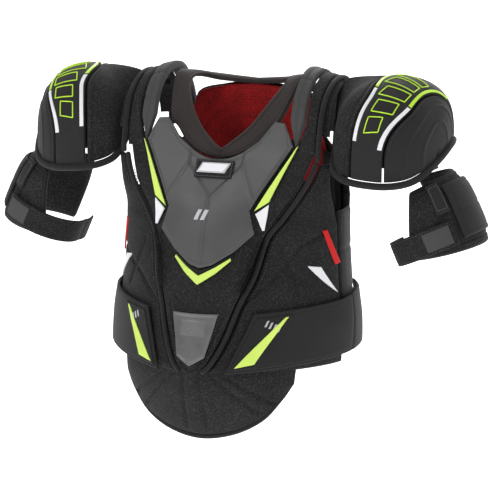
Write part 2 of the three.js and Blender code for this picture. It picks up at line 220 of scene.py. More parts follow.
def near(px, pz, lines):
    """Distance in a plane from each point to the nearest of some polylines."""
    best = np.full(np.shape(px), 1e9)
    for line in lines:
        line = np.array(line, float)
        for (x0, z0), (x1, z1) in zip(line[:-1], line[1:]):
            dx, dz = x1 - x0, z1 - z0
            t = np.clip(((px - x0) * dx + (pz - z0) * dz) / max(dx * dx + dz * dz, 1e-9), 0, 1)
            best = np.minimum(best, np.hypot(px - x0 - t * dx, pz - z0 - t * dz))
    return best


# ---------------------------------------------------------------- meshes
def mesh_object(name, verts, faces, material, slot, body, side=1):
    """A smooth mesh from millimetre points, mirrored in X when side is -1."""
    verts = (np.array(verts, float).reshape(-1, 3) * (side, 1, 1) - (0, 0, REST)) / 1000
    faces = [list(f)[::side] for f in faces]
    mesh = bpy.data.meshes.new(name)
    mesh.from_pydata(verts.tolist(), [], faces)
    mesh.polygons.foreach_set("use_smooth", np.ones(len(faces), bool))
    obj = bpy.data.objects.new(name, mesh)
    scene.collection.objects.link(obj)
    mesh.materials.append(material)
    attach(obj, body)
    return obj


def slab(p, n, lo, hi, wrap, order):
    """Vertices and quads of a closed pad between two depths over a grid of points."""
    nu, nv = p.shape[:2]
    verts = np.concatenate([(p + n * np.asarray(lo)[..., None]).reshape(-1, 3),
                            (p + n * np.asarray(hi)[..., None]).reshape(-1, 3)])
    idx = np.arange(2 * nu * nv).reshape(2, nu, nv)
    if wrap:
        idx = np.concatenate([idx, idx[:, :1]], 1)
    top, low = idx[1], idx[0]
    def quads(a, b, c, d):
        return np.stack([a.ravel(), b.ravel(), c.ravel(), d.ravel()], 1)
    parts = [quads(top[:-1, :-1], top[1:, :-1], top[1:, 1:], top[:-1, 1:]),
             quads(low[:-1, :-1], low[:-1, 1:], low[1:, 1:], low[1:, :-1]),
             quads(low[:-1, 0], low[1:, 0], top[1:, 0], top[:-1, 0]),
             quads(low[1:, -1], low[:-1, -1], top[:-1, -1], top[1:, -1])]
    if not wrap:
        parts += [quads(low[0, 1:], low[0, :-1], top[0, :-1], top[0, 1:]),
                  quads(low[-1, :-1], low[-1, 1:], top[-1, 1:], top[-1, :-1])]
    faces = np.concatenate(parts)
    return verts, faces if order > 0 else faces[:, ::-1]


def pad(name, at, u, v, lo, hi, style, body, node=None, side=1, inside=(0, 0, -150), edge=3.0, puff=0.0,
        relief=None,
        wrap=False, fill=0.7, soft=True):
    """A cushion-like piece on a surface: rounded borders, a crowned middle and any relief."""
    (u0, u1, nu), (v0, v1, nv) = u, v
    uu, vv, p, n, border, order = grid(at, u0, u1, nu, v0, v1, nv, inside, edge, wrap)
    order *= np.sign(u1 - u0) * np.sign(v1 - v0)
    d = np.minimum.reduce(border[2:] if wrap else border)
    f = np.sqrt(np.maximum(0.003, 1 - (1 - np.clip(d / edge, 0, 1)) ** 2))
    low_depth = lo(uu, vv) if callable(lo) else lo
    high_depth = hi(uu, vv) if callable(hi) else hi
    mid = low_depth + (high_depth - low_depth) * 0.45
    top = mid + (high_depth - mid) * f + puff * (1 - np.exp(-d / PUFF_REACH))
    low = mid + (low_depth - mid) * f
    if relief is not None:
        top = top + relief(uu, vv, p, d) * f
    verts, faces = slab(p, n, low, top, wrap, order)
    obj = mesh_object(name, verts, faces, *style, body, side)
    if node:
        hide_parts(node)
    return obj


def tube(name, path, r, style, body, node=None, side=1, closed=False, sides=12):
    """A round cord along points, open with closed ends, or joined into a loop."""
    path = np.array(path, float)
    n = len(path)
    tangent = np.roll(path, -1, 0) - np.roll(path, 1, 0) if closed else np.gradient(path, axis=0)
    tangent /= np.linalg.norm(tangent, axis=1, keepdims=True)
    ref = np.array([0, 0, 1.0]) if abs(tangent[0][2]) < 0.8 else np.array([1.0, 0, 0])
    ang = np.linspace(0, 2 * np.pi, sides, endpoint=False)
    rings = []
    for k in range(n):
        ref = ref - tangent[k] * ref.dot(tangent[k])
        ref /= np.linalg.norm(ref)
        other = np.cross(tangent[k], ref)
        rr = r * (1 if closed or 0 < k < n - 1 else CORD_END)
        rings.append(path[k] + (rr * np.cos(ang))[:, None] * ref + (rr * np.sin(ang))[:, None] * other)
    faces = []
    for i in range(n if closed else n - 1):
        j = (i + 1) % n
        faces += [(i * sides + k, i * sides + (k + 1) % sides, j * sides + (k + 1) % sides, j * sides + k)
                  for k in range(sides)]
    if not closed:
        faces += [tuple(range(sides))[::-1], tuple((n - 1) * sides + k for k in range(sides))]
    obj = mesh_object(name, np.array(rings), faces, *style, body, side)
    if node:
        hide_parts(node)
    return obj


def resample(path, step):
    path = np.array(path, float)
    d = np.concatenate([[0], np.cumsum(np.linalg.norm(np.diff(path, axis=0), axis=1))])
    q = np.linspace(0, d[-1], max(2, int(d[-1] / step) + 1))
    return np.stack([np.interp(q, d, path[:, c]) for c in range(path.shape[1])], -1)


def stitches(name, at, us, vs, depth, body, inside=(0, 0, -150), side=1, length=2.6, gap=1.3, width=0.8,
        lift=0.35,
             style=None):
    """A row of sewn stitches at a depth over a surface, along a path given by its u and v values."""
    us, vs = np.broadcast_arrays(np.asarray(us, float), np.asarray(vs, float))
    p, n = at(us, vs), normals(at, us, vs, inside, 1e-3)
    both = resample(np.hstack([p + n * np.asarray(depth)[..., None], n * 0.01]), length + gap)
    pts, nor = both[:, :3], both[:, 3:]
    verts, faces = [], []
    for k in range(len(pts) - 1):
        t = (pts[k + 1] - pts[k]) / np.linalg.norm(pts[k + 1] - pts[k])
        up = nor[k] - t * nor[k].dot(t)
        up /= np.linalg.norm(up)
        s = np.cross(up, t)
        c = (pts[k] + pts[k + 1]) / 2
        q = len(verts)
        for level, shrink in ((-THREAD_SINK, 1.0), (lift, 0.7)):
            for a, b in ((-0.5, -0.5), (0.5, -0.5), (0.5, 0.5), (-0.5, 0.5)):
                verts.append(c + t * a * length * shrink + s * b * width * shrink + up * level)
        faces += [(q, q + 3, q + 2, q + 1), (q + 4, q + 5, q + 6, q + 7), (q, q + 1, q + 5, q + 4),
                  (q + 1, q + 2, q + 6, q + 5), (q + 2, q + 3, q + 7, q + 6), (q + 3, q, q + 4, q + 7)]
    return mesh_object(name, verts, faces, *(style or THREAD), body, side)


def groove(lines, depth=1.6, width=1.7):
    """Relief for sewn seams along polylines in x and z on the front."""
    return lambda uu, vv, p, d: -depth * np.exp(-(near(np.abs(p[..., 0]), p[..., 2], lines) / width) ** 2)


# ---------------------------------------------------------------- materials
def new_material(name, color, roughness, **extra):
    m = bpy.data.materials.new(name)
    m.use_nodes = True
    b = m.node_tree.nodes["Principled BSDF"]
    b.inputs["Base Color"].default_value = (*color, 1)
    b.inputs["Roughness"].default_value = roughness
    for key, value in extra.items():
        b.inputs[key.replace("_", " ")].default_value = value
    return m, m.node_tree, b


def node(tree, kind, inputs=None, **settings):
    n = tree.nodes.new(kind)
    for k, v in settings.items():
        setattr(n, k, v)
    for k, v in (inputs or {}).items():
        if isinstance(v, bpy.types.NodeSocket):
            tree.links.new(v, n.inputs[k])
        else:
            n.inputs[k].default_value = v
    return n


def ramp(tree, value, stops):
    r = tree.nodes.new("ShaderNodeValToRGB")
    tree.links.new(value, r.inputs[0])
    while len(r.color_ramp.elements) < len(stops):
        r.color_ramp.elements.new(0.5)
    for e, (at, color) in zip(r.color_ramp.elements, stops):
        e.position = at
        e.color = (*color, 1)
    return r.outputs[0]


def weave(tree, scale):
    """A woven height pattern: two crossing sets of threads."""
    co = node(tree, "ShaderNodeTexCoord").outputs["Object"]
    turn = node(tree, "ShaderNodeMapping", {"Vector": co, "Rotation": (0.3, 0.5, 0.0)}).outputs[0]
    waves = []
    for axis in ("X", "Z"):
        w = node(tree, "ShaderNodeTexWave", {"Vector": turn, "Scale": scale, "Distortion": 0.6,
            "Detail": 1.0},
                 wave_type="BANDS", bands_direction=axis)
        waves.append(w.outputs["Fac"])
    return co, node(tree, "ShaderNodeMath", {0: waves[0], 1: waves[1]}, operation="MULTIPLY").outputs[0]


def bump(tree, shader, height, strength, distance):
    n = node(tree, "ShaderNodeBump", {"Height": height, "Strength": strength, "Distance": distance})
    tree.links.new(n.outputs[0], shader.inputs["Normal"])


def fabric(name, dark, light, roughness=0.85, scale=420.0, strength=0.5, distance=0.0005, sheen=0.05,
        blotch=0.25):
    """Woven fabric: thread relief, a heathered colour and slow patches of wear."""
    m, t, b = new_material(name, dark, roughness, Sheen_Weight=sheen, Sheen_Roughness=0.5,
        Specular_IOR_Level=0.25)
    co, h = weave(t, scale)
    fine = node(t, "ShaderNodeTexNoise", {"Vector": co, "Scale": 900.0, "Detail": 2.0}).outputs["Fac"]
    slow = node(t, "ShaderNodeTexNoise", {"Vector": co, "Scale": 22.0, "Detail": 3.0}).outputs["Fac"]
    mixed = node(t, "ShaderNodeMath", {0: fine, 1: h}, operation="MULTIPLY").outputs[0]
    tint = node(t, "ShaderNodeMath", {0: slow, 1: blotch, 2: 0.0}, operation="MULTIPLY_ADD").outputs[0]
    total = node(t, "ShaderNodeMath", {0: mixed, 1: tint}, operation="ADD").outputs[0]
    t.links.new(ramp(t, total, [(0.15, dark), (0.75, light)]), b.inputs["Base Color"])
    bump(t, b, h, strength, distance)
    return m


def mesh_fabric(name, dark, dot, light, pitch=2.1):
    """Spacer mesh: a net of small holes with light flecks of yarn between them."""
    m, t, b = new_material(name, dark, 0.82, Sheen_Weight=0.04, Sheen_Roughness=0.5,
        Specular_IOR_Level=0.25)
    co = node(t, "ShaderNodeTexCoord").outputs["Object"]
    cells = node(t, "ShaderNodeTexVoronoi", {"Vector": co, "Scale": 1000.0 / pitch, "Randomness": 0.35})
    fleck = node(t, "ShaderNodeTexNoise", {"Vector": co, "Scale": 620.0, "Detail": 2.0,
        "Roughness": 0.7}).outputs["Fac"]
    slow = node(t, "ShaderNodeTexNoise", {"Vector": co, "Scale": 30.0, "Detail": 2.0}).outputs["Fac"]
    yarn = ramp(t, fleck, [(0.52, dark), (0.63, light)])
    hole = ramp(t, cells.outputs["Distance"], [(0.12, dot), (0.42, (1, 1, 1))])
    both = node(t, "ShaderNodeMix", data_type="RGBA", blend_type="MULTIPLY")
    both.inputs[0].default_value = 1.0
    t.links.new(yarn, both.inputs[6])
    t.links.new(hole, both.inputs[7])
    shade = ramp(t, slow, [(0.3, (0.75, 0.75, 0.75)), (0.7, (1.1, 1.1, 1.1))])
    out = node(t, "ShaderNodeMix", data_type="RGBA", blend_type="MULTIPLY")
    out.inputs[0].default_value = 1.0
    t.links.new(both.outputs[2], out.inputs[6])
    t.links.new(shade, out.inputs[7])
    t.links.new(out.outputs[2], b.inputs["Base Color"])
    bump(t, b, cells.outputs["Distance"], 0.6, 0.0006)
    return m


def moulded(name, color, roughness, grain=0.12, spec=0.5, scale=900.0, mottle=0.12):
    """Moulded plastic or print: fine grain, slow tone changes and scuffed gloss."""
    m, t, b = new_material(name, color, roughness, Specular_IOR_Level=spec)
    co = node(t, "ShaderNodeTexCoord").outputs["Object"]
    fine = node(t, "ShaderNodeTexNoise", {"Vector": co, "Scale": scale, "Detail": 3.0}).outputs["Fac"]
    slow = node(t, "ShaderNodeTexNoise", {"Vector": co, "Scale": 35.0, "Detail": 4.0}).outputs["Fac"]
    lo, hi = tuple(c * (1 - mottle) for c in color), tuple(min(1, c * (1 + mottle)) for c in color)
    t.links.new(ramp(t, slow, [(0.3, lo), (0.7, hi)]), b.inputs["Base Color"])
    r = node(t, "ShaderNodeMapRange", {0: slow, 1: 0.3, 2: 0.7, 3: roughness - 0.08,
        4: roughness + 0.08}).outputs[0]
    t.links.new(r, b.inputs["Roughness"])
    bump(t, b, fine, grain, 0.0004)
    return m


MESH = (mesh_fabric("mesh_black", (0.009, 0.0085, 0.009), (0.4, 0.4, 0.4), (0.04, 0.039, 0.04)),
    "mesh_fabric")
SMOOTH = (fabric("smooth_black", (0.012, 0.011, 0.0115), (0.03, 0.028, 0.029), 0.7, 700, 0.25, 0.0003),
    "smooth_fabric")
BINDING = (fabric("edge_binding", (0.010, 0.0095, 0.010), (0.03, 0.029, 0.03), 0.72, 330, 0.6, 0.0006,
    0.06), "binding")
COLLAR = (fabric("collar_trim", (0.028, 0.022, 0.021), (0.048, 0.040, 0.038), 0.8, 620, 0.3, 0.0003, 0.1),
    "collar_fabric")
YOKE = (fabric("yoke_grey", (0.050, 0.049, 0.051), (0.085, 0.083, 0.085), 0.72, 560, 0.3, 0.0003, 0.06),
    "yoke_fabric")
PLATE = (moulded("plate_grey", (0.062, 0.060, 0.062), 0.5, 0.12), "moulded_plate")
WINDOW = (moulded("window_grey", (0.11, 0.11, 0.113), 0.32, 0.25, 0.6, 500), "moulded_plate")
GREEN = (moulded("green_print", (0.50, 0.80, 0.035), 0.42, 0.06, 0.4, 900, 0.05), "green_print")
PALE = (moulded("pale_green_print", (0.62, 0.82, 0.14), 0.42, 0.06, 0.4, 900, 0.05), "green_print")
WHITE = (moulded("white_print", (0.80, 0.80, 0.83), 0.42, 0.06, 0.4, 900, 0.04), "white_print")
SILVER = (moulded("silver_print", (0.45, 0.45, 0.47), 0.4, 0.06, 0.5, 900, 0.1), "white_print")
RED = (mesh_fabric("red_mesh", (0.30, 0.004, 0.005), (0.25, 0.1, 0.1), (0.5, 0.012, 0.014), 3.4),
    "red_lining")
REDTAPE = (fabric("red_tape", (0.55, 0.006, 0.006), (0.85, 0.02, 0.02), 0.6, 500, 0.3, 0.0003, 0.1),
    "red_trim")
FOAM = (fabric("lining_black", (0.012, 0.0115, 0.012), (0.03, 0.029, 0.03), 0.9, 380, 0.5, 0.0005, 0.05),
    "foam")
THREAD = (moulded("thread_grey", (0.05, 0.05, 0.052), 0.6, 0.0, 0.3), "binding")
LIGHT_THREAD = (moulded("thread_light", (0.16, 0.16, 0.165), 0.6, 0.0, 0.3), "binding")

# ---------------------------------------------------------------- chest front
PLATE_DEPTH = 6.0
SIDES = ((1, "l"), (-1, "r"))


def edge_of(z):
    return along(SHIELD_EDGE, z)


def front_piece(name, columns, nu, nv, lo, hi, style, smooth=False, body="vest", **kw):
    return pad(name, front_map(columns, smooth), (0, len(columns) - 1, nu), (0, 1, nv), lo, hi, style, body,
        **kw)


front_piece("front_liner", both_sides([(0, -48, 0, -282), (30, -44, 34, -282), (62, -40, 66, -282), (94,
    -44, 92, -280),
            (110, -62, 112, -276), (124, -110, 124, -268)]), 60, 40, -20, -13, FOAM, node="front_liner")

LOW_SEAM = [(0, -209.5), (10, -209), (22, -203.5), (30, -197)]
shield_seam = groove([LOW_SEAM, [(0, -283), (12, -272), (27, -236), (33, -216), (36, -204)]], 1.3, 1.6)
SHIELD_COLUMNS = both_sides([(0, -41, 0, -289), (26, -37, 5, -287), (60, -16, 20, -271),
    (92, -16, 44, -208),
                             (110, -16, 66, -134), (122, -20, 105, -70)])
front_piece("chest_shield", SHIELD_COLUMNS, 150, 130, -8, -0.2, MESH, smooth=True, node="chest_shield",
    edge=4,
            relief=shield_seam)

PANEL_SEAMS = {
    "l": [[(56, -202), (72, -188), (88, -170), (106, -141), (128, -127)],
    [(86, -136), (98, -165), (109, -194)]],
    "r": [[(60, -208), (92, -180), (139, -156)], [(88, -140), (99, -168), (112, -196)]],
}


def panel_at(z, t):
    inner = angle_at(edge_of(z) + 9, z)
    outer = 66 + 13 * np.clip((-60 - z) / 60, 0, 1)
    return chest(inner + (outer - inner) * t, z)


for side, tag in SIDES:
    pad("chest_panel_" + tag, panel_at, (-44, -284, 130), (0, 1, 90), -10, -2.8, MESH, "vest",
        "chest_panel_" + tag,
        side, edge=4, puff=2.6, relief=groove(PANEL_SEAMS[tag], 2.4, 2.4))
    heights = np.linspace(-42, -284, 170)
    line = front(edge_of(heights) + 4.8, heights)
    outward = line - np.stack([np.zeros_like(heights), np.full_like(heights, 20.0), heights], -1)
    outward[:, 2] = 0
    outward /= np.linalg.norm(outward, axis=1, keepdims=True)
    tube("shield_piping_" + tag, line - 0.9 * outward, 3.0, BINDING, "vest", "shield_piping_" + tag, side)
    beside = lambda u, v: front(edge_of(u) + v, u)
    rows = np.linspace(-60, -276, 90)
    stitches("shield_stitch_" + tag, beside, rows, -1.6, -0.2, "vest", side=side)
    stitches("panel_stitch_" + tag, beside, np.linspace(-66, -272, 90), 13.5, -1.4, "vest", side=side)

PLATE_COLUMNS = both_sides([(0, -44.5, 0, -166), (8, -44, 14, -162), (15, -42.5, 36, -147),
    (22, -40, 58, -125),
                            (30, -36, 50.5, -99), (50, -22, 62, -78), (68, 2, 78, -51), (80, 1, 87, -35),
                            (87, -12, 93, -25)])


def plate_relief(uu, vv, p, d):
    """A sunken V at the top, a ridge down the middle, flanks that fall away and a line inside the border."""
    x, z = np.abs(p[..., 0]), p[..., 2]
    arm_of_v = 34 * np.clip((z + 86) / 36, 0, 1)
    sunk = 1 / (1 + np.exp((x - arm_of_v) / 0.9))
    ridge = np.exp(-(x / 2.2) ** 2) * np.clip((-84 - z) / 8, 0, 1)
    flank = -0.03 * np.maximum(0, x - 4) * np.clip((-84 - z) / 20, 0, 1)
    fold = near(x, z, [[(34, -50), (58, -98), (60, -120)]])
    return -1.9 * sunk * (z > -88) + 0.9 * ridge + flank - 0.55 * np.exp(-((d - 4.5) / 0.8) ** 2) \
        + 0.8 * np.exp(-(fold / 2.2) ** 2)


front_piece("sternum_plate", PLATE_COLUMNS, 210, 120, 1.9, PLATE_DEPTH, PLATE, node="sternum_plate",
    edge=2.2,
            relief=plate_relief, soft=False)
for side, tag in SIDES:
    front_piece("green_wedge_" + tag, [(97, -26, 55.5, -99), (99, -24, 72, -88)], 14, 60, 1.6, 4, PALE,
        node="green_wedge_" + tag,
                side=side, edge=0.9, soft=False)
    front_piece("white_wedge_" + tag, [(57, -102, 66, -121), (72, -90.5, 68.5, -121)], 14, 24, 1.6, 4,
        WHITE,
                node="white_wedge_" + tag, side=side, edge=0.9, soft=False)
front_piece("green_chevron", both_sides([(0, -174, 0, -184), (18, -164, 19, -171), (34, -153, 35, -156)]),
    60, 10, 1.2, 4,
            PALE, node="green_chevron", edge=0.9, soft=False)
front_piece("under_plate_band", both_sides([(0, -167.4, 0, -173), (14, -163.2, 14.5, -167), (36, -148.5,
    34.5, -152)]), 60, 10,
            0.4, 3.0, BINDING, edge=1.2, soft=False)


def window_relief(uu, vv, p, d):
    x, z = p[..., 0], p[..., 2]
    patch = 1 / (1 + np.exp((np.maximum(np.abs(x) - 15, np.abs(z + 233) - 8)) / 0.5))
    weave_bumps = np.sin(x * 2.4) * np.sin(z * 2.4) * 0.3
    return -1.1 / (1 + np.exp((3.0 - d) / 0.5)) + patch * (0.5 + weave_bumps)


front_piece("tongue_window", both_sides([(0, -216, 0, -276), (28, -216, 17, -266)]), 110, 110, 0.8, 4,
    WINDOW,
            node="tongue_window", edge=1.4, relief=window_relief, soft=False)
window_rim = [(-29.5, -214.5), (29.5, -214.5), (18.5, -267), (0, -278), (-18.5, -267), (-29.5, -214.5)]
window_line = resample(window_rim, 2.0)[:-1]
stitches("window_stitch", front, window_line[:, 0], window_line[:, 1], 0.1, "vest")

front_piece("badge_patch", [(-24, -46, -24, -66), (24, -46, 24, -66)], 50, 24, 5.2, 7.5, BINDING, edge=1.6,
    body="vest",
            soft=False)
front_piece("sternum_badge", [(-15, -49.5, -21, -61), (21, -49.5, 15, -61)], 44, 16, 7.3, 9.2, SILVER,
    node="sternum_badge",
            edge=0.8, soft=False)
front_piece("badge_field", [(-13.2, -51, -18.2, -59.5), (18.2, -51, 13.2, -59.5)], 40, 14, 9.0, 9.6, WHITE,
    edge=0.4, soft=False)
badge_line = resample([(-22.4, -47.6), (22.4, -47.6), (22.4, -64.4), (-22.4, -64.4), (-22.4, -47.6)], 1.5)
stitches("badge_stitch", front, badge_line[:, 0], badge_line[:, 1], 7.4, "vest", length=2.0, gap=1.0,
    width=0.6, style=LIGHT_THREAD)
for k, x in enumerate((-9, -1)):
    front_piece("plate_mark_%d" % k, [(x, -101, x - 4, -112), (x + 5, -101, x + 1, -112)], 10, 14, 5.8, 7.3,
        SILVER, edge=0.5,
                soft=False)

# ---------------------------------------------------------------- sides and back
def quilt(lines, depth=1.6, width=2.0):
    """Relief for seams at (angle, height) round the body."""
    return lambda uu, vv, p, d: -depth * np.exp(-(near(np.degrees(np.arctan2(p[..., 0], -p[..., 1])) * 2.2,
        p[..., 2],
                                                       [[(a * 2.2, z) for a,
                                                       z in line] for line in lines]) / width) ** 2)


def round_piece(name, columns, nu, nv, lo, hi, style, **kw):
    return pad(name, round_map(columns), (0, len(columns) - 1, nu), (0, 1, nv), lo, hi, style, "vest", **kw)


for side, tag in SIDES:
    round_piece("side_panel_" + tag, [(80, -104, -272), (94, -104, -268), (108, -104, -262)], 30, 60, -9.5,
        -2.5, SMOOTH,
                node="side_panel_" + tag, side=side, puff=1.2,
                relief=quilt([[(80, -150), (108, -150)], [(80, -200), (108, -200)]]))
    front_piece("side_stripe_" + tag, [(126, -124, 137.5, -166), (130, -123, 141, -164)], 8, 40, -1.4, 0.6,
        REDTAPE,
                node="side_stripe_" + tag, side=side, edge=0.7, soft=False)
    front_piece("white_sliver_" + tag, [(114, -164, 115, -166), (126, -166.5, 141, -199)], 20, 30, -1.4,
        0.6, WHITE,
                node="white_sliver_" + tag, side=side, edge=0.6, soft=False)
round_piece("back_panel_upper", [(112, -92, -150), (130, -50, -150), (146, -24, -150), (151, 20, -150),
    (166, 32, -150),
            (180, 36, -150), (194, 32, -150), (209, 20, -150), (214, -24, -150), (230, -50, -150),
            (248, -92, -150)], 150, 80, -9.5, -2.8, MESH, node="back_panel_upper", edge=4, puff=2.2)
round_piece("back_panel_lower", [(112, -153, -262), (134, -153, -268), (156, -153, -276), (180, -153, -280),
    (204, -153, -276),
            (226, -153, -268), (248, -153, -262)], 120, 60, -9.5, -2.8, MESH, node="back_panel_lower",
            edge=4, puff=2.2)
round_piece("spine_pad", [(160, -60, -240), (170, -54, -252), (180, -52, -256), (190, -54, -252), (200, -60,
    -240)], 60, 110,
            -1, 8.2, SMOOTH, node="spine_pad", edge=6, puff=1.2,
            relief=lambda uu, vv, p, d: -2.2 * np.exp(-(((p[..., 2] + 52) % 40 - 20) / 2.0) ** 2))
round_piece("back_lining", [(140, -40, -264), (146, -14, -266), (152, 20, -268), (167, 31, -270), (180, 34,
    -272),
            (193, 31, -270), (208, 20, -268), (214, -14, -266), (220, -40, -264)], 90, 80, -20, -13, RED,
            node="back_lining", edge=3)
for side, tag in SIDES:
    round_piece("lining_side_" + tag, [(114, -96, -256), (130, -50, -262), (141, -40, -264)], 40, 60, -20,
        -12.5, FOAM, side=side,
                edge=4)
round_piece("size_label", [(172, -64, -98), (188, -64, -98)], 24, 24, -22.6, -20.2, WHITE,
    node="size_label", edge=0.8, soft=False)
for k, (a, b, top, low) in enumerate(((173, 178, -67, -74), (179.5, 187, -67, -69.5), (179.5, 187, -71.5,
    -74), (174, 186, -79, -81),
                                      (174, 183, -84, -86), (174, 186, -89, -91))):
    round_piece("label_block_%d" % k, [(a, top, low), (b, top, low)], 6, 6, -23.0, -22.3, PLATE, edge=0.3,
        soft=False)

# ---------------------------------------------------------------- collar and shoulders
def collar_relief(uu, vv, p, d):
    turn = np.minimum(uu, 16 - uu)
    centre = np.exp(-(turn / 0.05) ** 2)
    rows = sum(np.exp(-((vv - r) / 0.05) ** 2) for r in (0.2, 0.82))
    return -1.3 * centre - 0.8 * rows


pad("collar_trim", collar, (0, 16, 260), (0, 1, 22), -7, 0.3, COLLAR, "vest", "collar_trim",
    inside=(0, 10, -120), edge=3.6,
    wrap=True, relief=collar_relief)
turns = np.linspace(0, 16, 220, endpoint=False)
tube("collar_roll", collar(turns, 0.0) - (0, 0, 3.2), 2.5, COLLAR, "vest", closed=True)
for k, v in enumerate((0.2, 0.82)):
    for side, tag in SIDES:
        stitches("collar_stitch_%d_%s" % (k, tag), collar, np.linspace(0.3, 7.9, 90), v, -0.9, "vest",
            (0, 10, -120), side,
                 length=2.0, gap=1.2, width=0.6)


def pointed(t):
    return np.minimum(1, np.maximum(0.1, (t + 0.02) / 0.14))


def strip_at(inner, outer):
    return lambda t, v: arch(inner(t) * (1 - v) + outer(t) * v, t)


YOKE_INSIDE = (100, 30, 0)
yoke_at = strip_at(lambda t: 96 - 10 * pointed(t), lambda t: 96 + 9 * pointed(t))
side_strip_at = strip_at(lambda t: 98 + 8.5 * pointed(t), lambda t: 121 + 0 * t)
for side, tag in SIDES:
    pad("yoke_pad_" + tag, yoke_at, (-0.01, 0.97, 110), (0, 1, 20), -10, -0.4, YOKE, "vest",
        "yoke_pad_" + tag, side, YOKE_INSIDE,
        puff=0.6, relief=lambda uu, vv, p, d: -1.2 * np.exp(-((vv - 0.5) / 0.06) ** 2)
        - 1.4 * sum(np.exp(-((uu - c) / 0.008) ** 2) for c in (0.2, 0.34)))
    pad("yoke_strip_" + tag, side_strip_at, (-0.04, 0.97, 100), (0, 1, 14), -10, -2.2, MESH, "vest",
        "yoke_strip_" + tag, side,
        YOKE_INSIDE, puff=0.5)
    pad("shoulder_web_" + tag, strip_at(lambda t: 118 + 0 * t, lambda t: 135 + 0 * t), (0.06, 0.9, 60),
        (0, 1, 10), -10, -7, MESH,
        "vest", None, side, YOKE_INSIDE, edge=1.2)
    run = np.linspace(-0.06, 0.97, 120)
    tube("yoke_piping_" + tag, arch(124.6, run) - (0, 0, 4), 3.2, BINDING, "vest", "yoke_piping_" + tag,
        side)
    stitches("yoke_stitch_" + tag, yoke_at, np.linspace(0.08, 0.9, 90), 0.9, -0.6, "vest", YOKE_INSIDE,
        side)
    stitches("yoke_stitch_in_" + tag, yoke_at, np.linspace(0.08, 0.9, 90), 0.1, -0.6, "vest", YOKE_INSIDE,
        side)
    pad("shoulder_rest_" + tag, lambda u, v: xyz(u, v, 38), (88, 114, 16), (12, 46, 18), -4, 4, FOAM,
        "vest", "shoulder_rest_" + tag,
        side, (101, 29, -100), edge=2)

# ---------------------------------------------------------------- shoulder caps
CAP_INSIDE = (*CAP_CENTRE, -40)
SHAPE_HEIGHT = 1.35  # centre line of the printed outlines, above the cap surface


def ease(t):
    t = np.clip(t, 0, 1)
    return t * t * (3 - 2 * t)


def band_inner(a):
    return 7 - 13 * ease((a - 45) / 45)


def band_outer(a):
    return 34 + 12 * ease((a - 8) / 50)


def cap_between(b0, b1, margin=0.001):
    """Surface between two borders of the cap, from rim to rim: u 0 to 1 front to back, t across."""
    def at(u, t):
        turn = 90 - 90 * np.cos(np.pi * u)
        b = b0(turn) * (1 - t) + b1(turn) * t
        clear = np.degrees(np.arcsin(np.minimum(1, margin / np.cos(np.radians(b)))))
        return cap(clear + (180 - 2 * clear) * turn / 180, b)
    return at


def cap_piece(name, b0, b1, nu, nv, lo, hi, style, side, tag, a0=0.06, a1=179.94, node=True, margin=0.001,
        **kw):
    """A pad on the cap between angles a0 and a1, front to back."""
    full = name + "_" + tag
    ends = [np.arccos(1 - a / 90) / np.pi for a in (a0, a1)]
    return pad(full, cap_between(b0, b1, margin), (*ends, nu), (0, 1, nv), lo, hi, style, "cap_" + tag,
               full if node else None, side, CAP_INSIDE, **kw)


def rib_relief(uu, vv, p, d):
    return sum(0.9 * np.exp(-((vv - c) / 0.035) ** 2) for c in (0.3,
        0.62)) - 0.7 * np.exp(-((d - 5) / 1.0) ** 2)


def glyph(name, corners, side, tag):
    """A hollow slanted outline printed on the band."""
    ring = resample(corners + corners[:1], 0.8)[:-1]
    line = cap(ring[:, 0], ring[:, 1])
    raised = line + SHAPE_HEIGHT * normals(cap, ring[:, 0], ring[:, 1], CAP_INSIDE, 0.01)
    tube(name, raised, 0.75, GREEN, "cap_" + tag, side=side, closed=True, sides=8)


